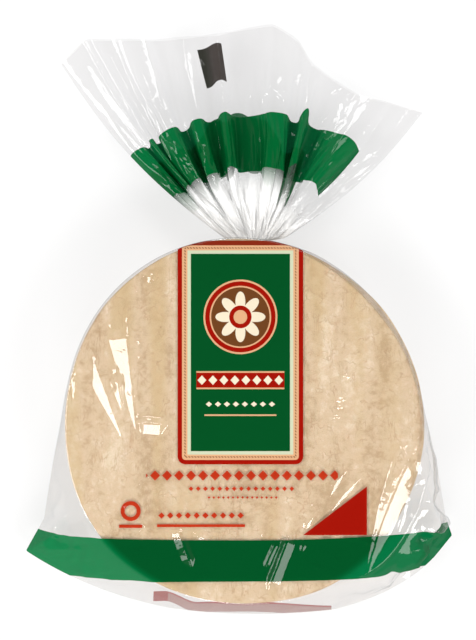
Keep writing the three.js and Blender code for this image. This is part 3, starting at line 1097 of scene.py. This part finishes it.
ornaments = {                 # the red marks straight on the clear film, in the same millimetres
    # rows of diamonds: from x to x, then y, pitch, half width and half height
    "rows": [
        (-49.5, 46.5, -27.2, 6.0, 2.5, 2.6),
        (-28.8, 25.2, -33.8, 3.6, 1.2, 1.2),
        (-19.2, 16.8, -38.2, 2.4, 0.7, 0.7),
        (-44.0, 0.0, -47.2, 4.4, 1.6, 1.6),
    ],
    "dashes": [(-44.0, 0.0, -53.0, -51.6), (-63.0, -51.4, -53.4, -51.8)],
    "ring": (-57.2, -45.0, 3.0, 5.0),
    "triangle": (29.0, 61.0, -57.0, 0.76),  # from x to x, foot and slope
}

bands = {                   # of the green band, and of the faded strip on the back
    # middle height, and the bow of the left and right half per millimetre
    "top": (-59.7, 0.00018, 0.0005),
    "bottom": (-80.3, -0.0002, 0.0004),
    "rightTurn": (0.0, 45.0),       # its ink changes between these x
    "foodEdge": (95.0, 89.0),       # the food backs it, and its painted shade comes in, from the first to the second distance
    "backReach": 86.0,
    "strip": (-47.5, 45.0, -90.8, 4.6),     # from x to x, height and width
    "stripSteps": [(-42.0, -25.0, -5.4), (0.0, 46.0, -1.6)],
    "stripDark": (-40.0, 0.7),      # darker left of this x, and in this much of its upper edge
}


def printPlace(tree):
    # the flat film's x and y in millimetres, from the print map
    parts = addNode(tree, "SeparateXYZ", {0: field(tree, "UVMap", uv_map="print")})
    return [(Field(parts.outputs[axis]) - 0.5) * printSpan for axis in (0, 1)]


def distance(x, y):
    return calc("SQRT", x * x + y * y)


def roundBox(x, y, middle, half, corner):
    # signed distance to a box with round corners, below zero inside
    sideX = abs(x - middle[0]) - (half[0] - corner)
    sideY = abs(y - middle[1]) - (half[1] - corner)
    outside = distance(larger(sideX, 0.0), larger(sideY, 0.0))
    return outside + calc("MINIMUM", larger(sideX, sideY), 0.0) - corner


def inside(value, low, high):
    # 1 where value lies from low to high
    return (value > low) * (value < high)


def repeat(value, period):
    # distance to the middle of the repeat that value falls in, from -period/2 to period/2
    return (calc("FRACT", value / period) - 0.5) * period


def diamonds(x, y, line, period, wide, high):
    # a row of diamonds along y = line
    return abs(repeat(x, period)) / wide + abs(y - line) / high < 1.0


def printLayers(layers):
    # lays one ink over another by their masks; gives the colour, where there is any ink, and
    # how solid it is
    colour, cover, solid = ink["green"][0], 0.0, 1.0
    for mask, name in layers:
        tint, strength = ink[name]
        colour = mixColour(mask, colour, tint)
        cover = larger(cover, mask)
        solid = field(mask.tree, "Mix", {0: mask, 2: solid, 3: strength})
    return colour, cover, solid


def bandLine(x, edge):
    middle, leftBow, rightBow = bands[edge]
    bow = field(x.tree, "Mix", {0: x > 0.0, 2: leftBow, 3: rightBow})
    return x * x * bow + middle


def bodyBand(x, y):
    # between two shallow curves that rise towards the corners by their bow times x squared
    return (y < bandLine(x, "top")) * (bandLine(x, "bottom") < y)


def frontPrint(x, y):
    box = roundBox(x, y, panel["middle"], panel["half"], panel["corner"])
    layers = [(box < depth, name) for depth, name in panel["border"]]
    # painted shade on the red border where the film turns over the rim
    layers.append(((box < 0.0) * (y > panel["rimFrom"]), "paintedRimShadeRed"))
    low, high, pitch, half = panel["stitches"]
    layers.append((inside(box, low, high) * (abs(repeat(x + y, pitch)) < half), "brown"))
    dx, dy = x - panel["medallion"][0], y - panel["medallion"][1]
    far = distance(dx, dy)
    layers += [(far < radius, name) for radius, name in panel["rings"]]
    half, out, start = panel["petals"]
    petals = abs(calc("COSINE", calc("ARCTAN2", dy, dx) * half)) * out + start
    layers.append((far < petals, "cream"))
    layers += [(far < radius, name) for radius, name in panel["eyes"]]
    low, high, half = panel["strip"]
    onStrip = abs(dx) < half
    layers += [(onStrip * inside(y, low - rim, high + rim), name)
               for rim, name in panel["stripRims"]]
    layers.append((onStrip * diamonds(dx, y, *panel["stripRow"]), "cream"))
    nearMiddle = abs(dx) < panel["smallHalf"]
    layers.append((nearMiddle * diamonds(dx, y, *panel["smallRow"]), "cream"))
    layers.append((nearMiddle * inside(y, *panel["line"]), "peach"))
    layers += looseMarks(x, y)
    band = bodyBand(x, y)
    layers.append((band, "band"))
    layers.append((band * smooth(x, *bands["rightTurn"]), "bandRight"))
    # painted shade: the food behind it darkens the print, fading out at the stack's edge
    layers.append((band * smooth(distance(x, y), *bands["foodEdge"]), "paintedShadeBand"))
    return printLayers(layers)


def looseMarks(x, y):
    # rows of diamonds, dashes, a ring, and a triangle
    layers = [(inside(x, *row[:2]) * diamonds(x, y, *row[2:]), "redLine")
              for row in ornaments["rows"]]
    layers += [(inside(x, *dash[:2]) * inside(y, *dash[2:]), "redLine")
               for dash in ornaments["dashes"]]
    ringX, ringY, inner, outer = ornaments["ring"]
    layers.append((inside(distance(x - ringX, y - ringY), inner, outer), "redLine"))
    start, end, foot, slope = ornaments["triangle"]
    triangle = inside(x, start, end) * (y > foot) * (y - (x - start) * slope < foot)
    layers.append((triangle, "red"))
    return layers


def tailPrint(x, y):
    y = y + printSpan / 2     # distance from the gather
    band = inside(y, *tail["band"]) * (x < tail["bandEnd"])
    backBand = inside(y, *tail["band"]) * inside(x, printSpan / 2, printSpan + tail["backBandEnd"])
    low, high, start, end = tail["mark"]
    mark = inside(x + y * tail["markLean"], low, high) * inside(y, start, end)
    return printLayers([(larger(band, backBand), "bandTail"), (mark, "mark")])


def backPrint(x, y):
    # the strip at the bottom starts high at its left end and then runs down to the edge
    start, end, line, width = bands["strip"]
    line = sum(smooth(x, low, high, 0.0, far) for low, high, far in bands["stripSteps"]) + line
    depth = line - y
    strip = inside(x, start, end) * inside(depth, 0.0, width)
    darkEnd, darkRim = bands["stripDark"]
    stripDark = strip * larger(x < darkEnd, depth < darkRim)
    # the band on the back lies only behind the food, all in painted shade
    band = bodyBand(x, y) * (distance(x, y) < bands["backReach"])
    return printLayers([(band, "paintedShadeBand"), (strip, "faded"), (stripDark, "fadedDark")])


film = {                    # what the films share, then what each has of its own
    "roughness": 0.035,
    "white": (0.98, 0.98, 0.97, 1.0),       # of the haze
    "leanSpan": (15.0, 45.0),       # the haze ends nearer the neck from this x to that
    "paintedPleatShade": (-0.9, 0.1, 0.25),        # painted shade in the pleats: from depth to depth of a pleat, and the share of the colour left at the lowest
    # colour of the painted shade in the pleats
    "paintedPleatShadeTone": (0.0, 0.012, 0.004, 1.0),
    "crinkles": [(60.0, 1.0), (260.0, 0.25)],       # repeats per metre and share of the height
    "crumpleCells": 110.0,          # creases of the right corner, in cells per metre
    "crumpleSpan": (80.0, 94.0),
    "bump": (0.35, 1.2 * mm),
    "slantPower": 2.5,              # how late a slanted view deepens the tint
    "edgePower": 4.0,               # and adds gloss
    "inkGlossEdge": 0.2,            # share of that gloss that is left on ink
    "inkThrough": 0.2,              # share of the ink that lights up from behind
    "body": {
        "clear": (0.975, 0.965, 0.958, 1.0),    # tint of one layer
        "slant": (0.84, 0.84, 0.845, 1.0),      # and of one seen at a slant
        "gloss": 0.07,              # mirrored share seen square on
        "inkGloss": 0.36,           # how much of that is left on ink
        "glossEdge": 0.22,          # added seen edge on
        "haze": (0.03, 0.03),       # milky share near the neck and away from it
        "hazeSpan": (0.0, 1.0),     # it fades between these distances from the gather
        "hazeLean": 0.0,            # and that much nearer at the right
        "crumple": 9.0,             # height of the creases at the right
        "through": 0.35,            # share of the haze that lights up from behind
        "upward": 0.0,              # how much its shading leans to the sky, as among many folds
        "paintedGlow": 0.0,             # painted glow of the haze, standing in for light that many folds throw between them
    },
    "tail": {
        "clear": (0.944, 0.940, 0.941, 1.0),
        "slant": (0.94, 0.94, 0.95, 1.0),
        "gloss": 0.038,
        "inkGloss": 0.65,
        "glossEdge": 0.16,
        "haze": (0.9, 0.03),
        "hazeSpan": (30.0, 50.0),
        "hazeLean": 13.0,
        "crumple": 0.0,
        "through": 0.12,
        "upward": 0.97,
        # painted glow of the haze, strongest near the neck where the haze is thick
        "paintedGlow": 0.17,
    },
}


def filmMaterial(name, layers, kind, pleated=False):
    # clear film: what lies behind it, less a little haze, under a mirror that grows towards
    # grazing views; ink is part solid colour, which scatters the light, and part tint
    look = film[kind]
    material, tree = newTree(name)

    def blend(share, first, second):
        return field(tree, "MixShader", {0: share, 1: first, 2: second})

    x, y = printPlace(tree)
    colour, cover, solid = layers(x, y)
    away = y + printSpan / 2 + smooth(x, *film["leanSpan"], 0.0, look["hazeLean"])
    haze = smooth(away, *look["hazeSpan"], *look["haze"])
    if pleated:
        # painted shade: the ink darkens towards that colour low in each pleat, by how high the point
        # rides in its fold
        start, end, left = film["paintedPleatShade"]
        pleat = field(tree, "Attribute", output="Fac", attribute_name="pleat")
        shade = field(tree, "MapRange", {0: pleat, 1: start, 2: end, 3: left, 4: 1.0})
        colour = mixColour(shade, film["paintedPleatShadeTone"], colour)
    place = objectPlace(tree)
    crinkle = sum(noise(place, scale) * share for scale, share in film["crinkles"])
    cells = field(tree, "TexVoronoi", {"Vector": place, "Scale": film["crumpleCells"]},
                  "Distance", feature="F1")
    crinkle = crinkle + cells * smooth(x, *film["crumpleSpan"], 0.0, look["crumple"])
    strength, height = film["bump"]
    bump = field(tree, "Bump",
                 {"Height": crinkle, "Strength": strength, "Distance": height})
    facing = field(tree, "LayerWeight", {"Blend": 0.5, "Normal": bump}, "Facing")
    onInk = cover * (look["inkGloss"] - 1.0) + 1.0
    edge = facing ** film["edgePower"] * (cover * (film["inkGlossEdge"] - 1.0) + 1.0)
    mirror = edge * look["glossEdge"] + onInk * look["gloss"]
    tint = field(tree, "Gamma", {"Color": colour, "Gamma": 0.5})
    slanted = mixColour(facing ** film["slantPower"], look["clear"], look["slant"])
    clear = field(tree, "BsdfTransparent", {"Color": mixColour(cover, slanted, tint)})
    ownNormal = field(tree, "NewGeometry", output="Normal")
    leaning = mixVector(tree, look["upward"], ownNormal, (0.0, 0.0, 1.0))
    leaning = field(tree, "VectorMath", {0: leaning}, operation="NORMALIZE")
    lit = field(tree, "BsdfDiffuse", {"Color": film["white"], "Normal": leaning})
    lower = field(tree, "BsdfTranslucent", {"Color": film["white"], "Normal": leaning})
    # painted glow: the haze gives off a little light of its own, standing in for light bounced
    # between the folds
    paintedGlowShader = field(tree, "Emission", {"Color": film["white"], "Strength": look["paintedGlow"]})
    white = field(tree, "AddShader", {0: blend(look["through"], lit, lower), 1: paintedGlowShader})
    veil = blend((1.0 - cover) * haze, clear, white)
    matt = field(tree, "BsdfDiffuse", {"Color": colour, "Normal": bump})
    through = field(tree, "BsdfTranslucent", {"Color": colour})
    body = blend(cover * solid, veil, blend(film["inkThrough"], matt, through))
    gloss = field(tree, "BsdfGlossy", {"Roughness": film["roughness"], "Normal": bump})
    addNode(tree, "OutputMaterial", {"Surface": blend(mirror, body, gloss)})
    return material


def addPleat(piece, pleat):
    # how high each point rides in its fold, for the shade painted inside the pleats
    layer = piece.data.attributes.new("pleat", "FLOAT", "POINT")
    layer.data.foreach_set("value", pleat.astype(np.float32).ravel())


def makeFilm():
    columns = int(bag["columns"] * fineness)
    points, uv = frontFilm(columns)
    front = gridPiece("film_front", points, filmMaterial("frontFilm", frontPrint, "body"),
                      around=True, endPole=points[-1].mean(axis=0), uv=uv)
    points, uv = backFilm(columns)
    back = gridPiece("film_back", points, filmMaterial("backFilm", backPrint, "body"),
                     around=True, startPole=points[0].mean(axis=0), uv=uv)
    tailFilm = filmMaterial("tailFilm", tailPrint, "tail", pleated=True)
    points, uv, pleat = tailWall(1, 5)
    tailFront = gridPiece("tail_front", points[::-1], tailFilm, uv=uv[::-1])
    addPleat(tailFront, pleat[::-1])
    points, uv, pleat = tailWall(-1, 11)
    tailBack = gridPiece("tail_back", points, tailFilm, uv=uv)
    addPleat(tailBack, pleat)
    for piece in (front, back, tailFront, tailBack):
        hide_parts("bag")
    print("film made")


# tie

tie = {
    "halfWidth": 8.2 * mm,
    "halfHeight": 8.2 * mm,
    "wire": 0.75 * mm,
    "columns": 96,
    "rows": 16,
    "tone": (235, 235, 230),
}


def makeTie():
    # a round section carried along an ellipse across the neck
    turn = np.linspace(0, 2 * math.pi, tie["columns"], endpoint=False)[:, None]
    around = np.linspace(0, 2 * math.pi, tie["rows"], endpoint=False)[None, :]
    outX, outZ = np.cos(turn), np.sin(turn)
    swell = tie["wire"] * np.cos(around)
    x = neck["tieMiddle"] + (tie["halfWidth"] + swell) * outX
    z = neck["gather"][2] + (tie["halfHeight"] + swell) * outZ
    y = neck["tieY"] + tie["wire"] * np.sin(around) + 0 * turn
    points = np.stack([x, y, z], -1)
    material, tree = newTree("tie")
    shader = field(tree, "BsdfPrincipled",
                   {"Base Color": tone(*tie["tone"]), "Roughness": 0.4})
    addNode(tree, "OutputMaterial", {"Surface": shader})
    piece = gridPiece("neck_tie_ring", points, material, around=True, ring=True)
    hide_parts("neck_tie")
    print("tie made")


makeStudio()
makeTortillas()
makeFilm()
makeTie()
